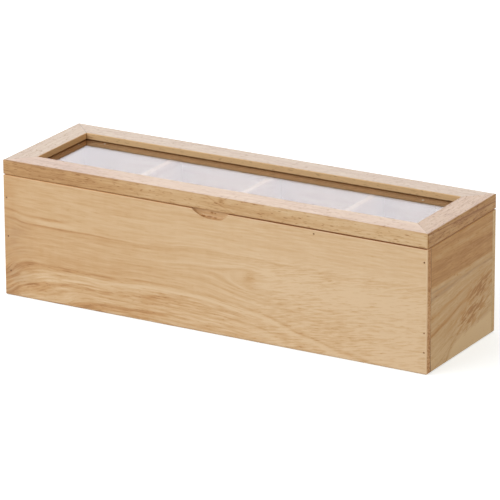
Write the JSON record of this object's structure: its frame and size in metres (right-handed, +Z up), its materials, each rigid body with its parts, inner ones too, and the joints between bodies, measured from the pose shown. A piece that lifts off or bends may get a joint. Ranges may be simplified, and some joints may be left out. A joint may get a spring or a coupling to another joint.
{
  "type": "tea bag organizer box",
  "caption": "Long rectangular wooden keeper with a row of divided compartments under a hinged, mitred lid with a clear window; a half-moon thumb scoop in the front rim opens it.",
  "frame": {"origin": "centre of the footprint, on the plane that the box stands on", "axes": "+X along the length towards the right end, +Y towards the hinged back, +Z up"},
  "size_m": [0.336, 0.1008, 0.1],
  "materials": {
    "panel_wood": "clear satin lacquer on light rubberwood",
    "rail_wood": "clear satin lacquer on light rubberwood",
    "divider_wood": "sanded, unlacquered",
    "base_plywood": "sanded plywood",
    "clear_pane": "clear, polished",
    "brad_steel": "dull, set below the surface",
    "hinge_brass": "bright plated"
  },
  "bodies": {
    "box": {"front_panel": "panel_wood", "back_panel": "panel_wood", "left_end_panel": "panel_wood", "right_end_panel": "panel_wood", "base_panel": "base_plywood", "left_divider": "divider_wood", "middle_divider": "divider_wood", "right_divider": "divider_wood", "front_brads": "brad_steel", "back_brads": "brad_steel", "left_hinge_box_leaf": "hinge_brass", "left_hinge_pin": "hinge_brass", "left_hinge_box_screws": "hinge_brass", "right_hinge_box_leaf": "hinge_brass", "right_hinge_pin": "hinge_brass", "right_hinge_box_screws": "hinge_brass"},
    "lid": {"lid_front_rail": "rail_wood", "lid_back_rail": "rail_wood", "lid_left_rail": "rail_wood", "lid_right_rail": "rail_wood", "window_pane": "clear_pane", "left_hinge_lid_leaf": "hinge_brass", "left_hinge_lid_screws": "hinge_brass", "right_hinge_lid_leaf": "hinge_brass", "right_hinge_lid_screws": "hinge_brass"}
  },
  "joints": [
    {"name": "lid_hinge", "type": "hinge", "parent": "box", "child": "lid", "pos_m": [0, 0.04933, 0.0892], "axis": [-1, 0, 0], "range_deg": [0, 100]}
  ]
}
